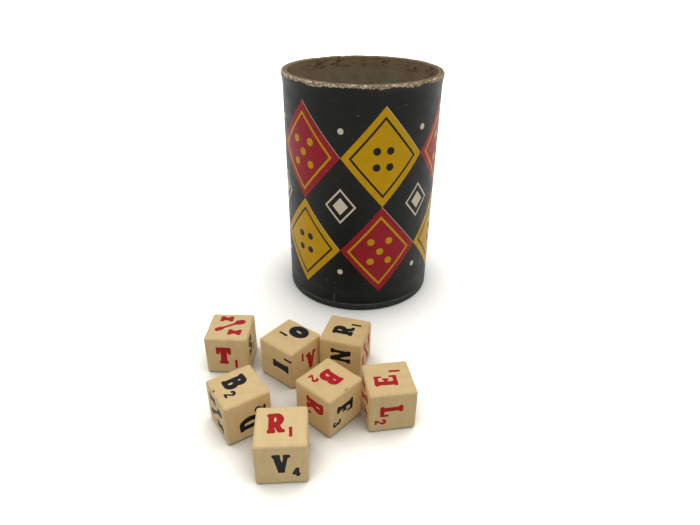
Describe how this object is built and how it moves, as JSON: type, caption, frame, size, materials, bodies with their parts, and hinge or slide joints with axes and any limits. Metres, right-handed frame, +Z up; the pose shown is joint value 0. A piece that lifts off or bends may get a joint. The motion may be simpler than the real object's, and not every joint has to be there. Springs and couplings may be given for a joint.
{
  "type": "letter dice word game",
  "caption": "Letter-dice word game: a round paperboard shaking cup with a printed paper wrap and a black base band, and loose wooden letter dice tipped out in front of it.",
  "frame": {"origin": "on the cup's axis, on the surface that the cup and the dice stand on", "axes": "+Z up along the cup's axis, out of its mouth; -Y towards the dice in front; +X to the right"},
  "size_m": [0.0896, 0.1559, 0.0972],
  "materials": {
    "tube_board": "matte",
    "base_board": "matte",
    "edging_paper": "satin",
    "printed_paper": "satin",
    "die_wood": "matte"
  },
  "bodies": {
    "cup": {"cup_tube": "tube_board", "base_disc": "base_board", "base_band": "edging_paper", "label_wrap": "printed_paper"},
    "die_back_left": {"die_back_left": "die_wood"},
    "die_back_middle": {"die_back_middle": "die_wood"},
    "die_back_right": {"die_back_right": "die_wood"},
    "die_left": {"die_left": "die_wood"},
    "die_front": {"die_front": "die_wood"},
    "die_middle": {"die_middle": "die_wood"},
    "die_right": {"die_right": "die_wood"}
  },
  "joints": [
    {"name": "lift_back_left", "type": "slide", "parent": "cup", "child": "die_back_left", "axis": [0, 0, 1], "range_m": [0, 0.12]},
    {"name": "lift_back_middle", "type": "slide", "parent": "cup", "child": "die_back_middle", "axis": [0, 0, 1], "range_m": [0, 0.12]},
    {"name": "lift_back_right", "type": "slide", "parent": "cup", "child": "die_back_right", "axis": [0, 0, 1], "range_m": [0, 0.12]},
    {"name": "lift_left", "type": "slide", "parent": "cup", "child": "die_left", "axis": [0, 0, 1], "range_m": [0, 0.12]},
    {"name": "lift_front", "type": "slide", "parent": "cup", "child": "die_front", "axis": [0, 0, 1], "range_m": [0, 0.12]},
    {"name": "lift_middle", "type": "slide", "parent": "cup", "child": "die_middle", "axis": [0, 0, 1], "range_m": [0, 0.12]},
    {"name": "lift_right", "type": "slide", "parent": "cup", "child": "die_right", "axis": [0, 0, 1], "range_m": [0, 0.12]}
  ]
}
